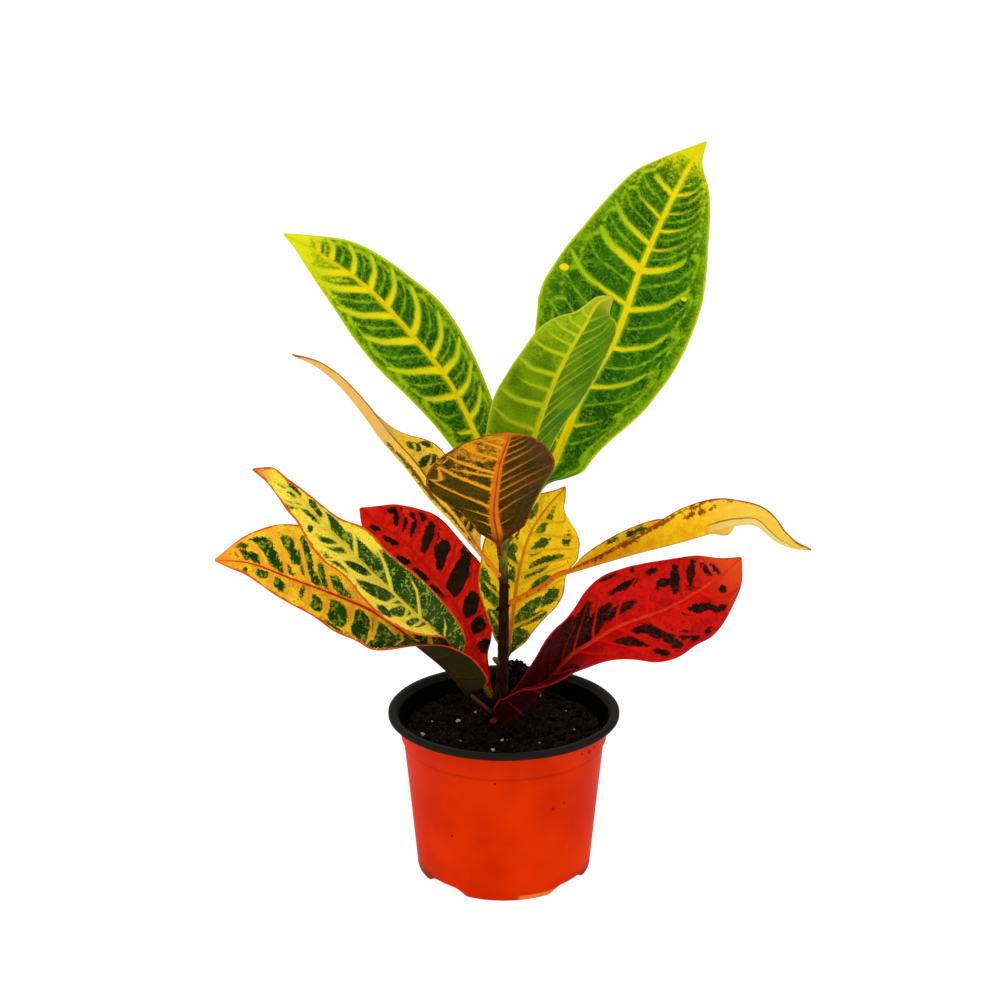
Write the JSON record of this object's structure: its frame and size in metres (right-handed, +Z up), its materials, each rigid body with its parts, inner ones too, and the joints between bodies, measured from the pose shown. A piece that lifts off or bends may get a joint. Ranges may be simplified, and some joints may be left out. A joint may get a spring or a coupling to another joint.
{
  "type": "potted croton",
  "caption": "Young croton houseplant with large variegated green, yellow and red leaves in an orange nursery pot with a black rim, free-standing.",
  "frame": {"origin": "on the pot's axis at the surface it stands on", "axes": "+Z up along the pot's axis; -Y is the front, the side that the picture shows; +X is to the right seen from the front"},
  "size_m": [0.2922, 0.1758, 0.3703],
  "materials": {
    "pot": "orange-red outside, black rim and inside, semi-matt",
    "soil": "dark peat with fine crumbs",
    "stem": "dark purple-brown bark",
    "green_leaf": "glossy green with yellow veins",
    "olive_leaf": "olive with orange veins",
    "yellow_leaf": "golden yellow with green patches",
    "red_leaf": "red with dark patches"
  },
  "bodies": {
    "root": {"pot": "pot", "soil": "soil", "stem": "stem", "leaf_top_right": "green_leaf", "leaf_top_left": "green_leaf", "leaf_young": "green_leaf", "leaf_front": "olive_leaf", "leaf_folded_left": "yellow_leaf", "leaf_mid_left": "yellow_leaf", "leaf_low_left": "yellow_leaf", "leaf_red_left": "red_leaf", "leaf_behind_stem": "yellow_leaf", "leaf_long_right": "yellow_leaf", "leaf_red_right": "red_leaf"}
  },
  "joints": []
}
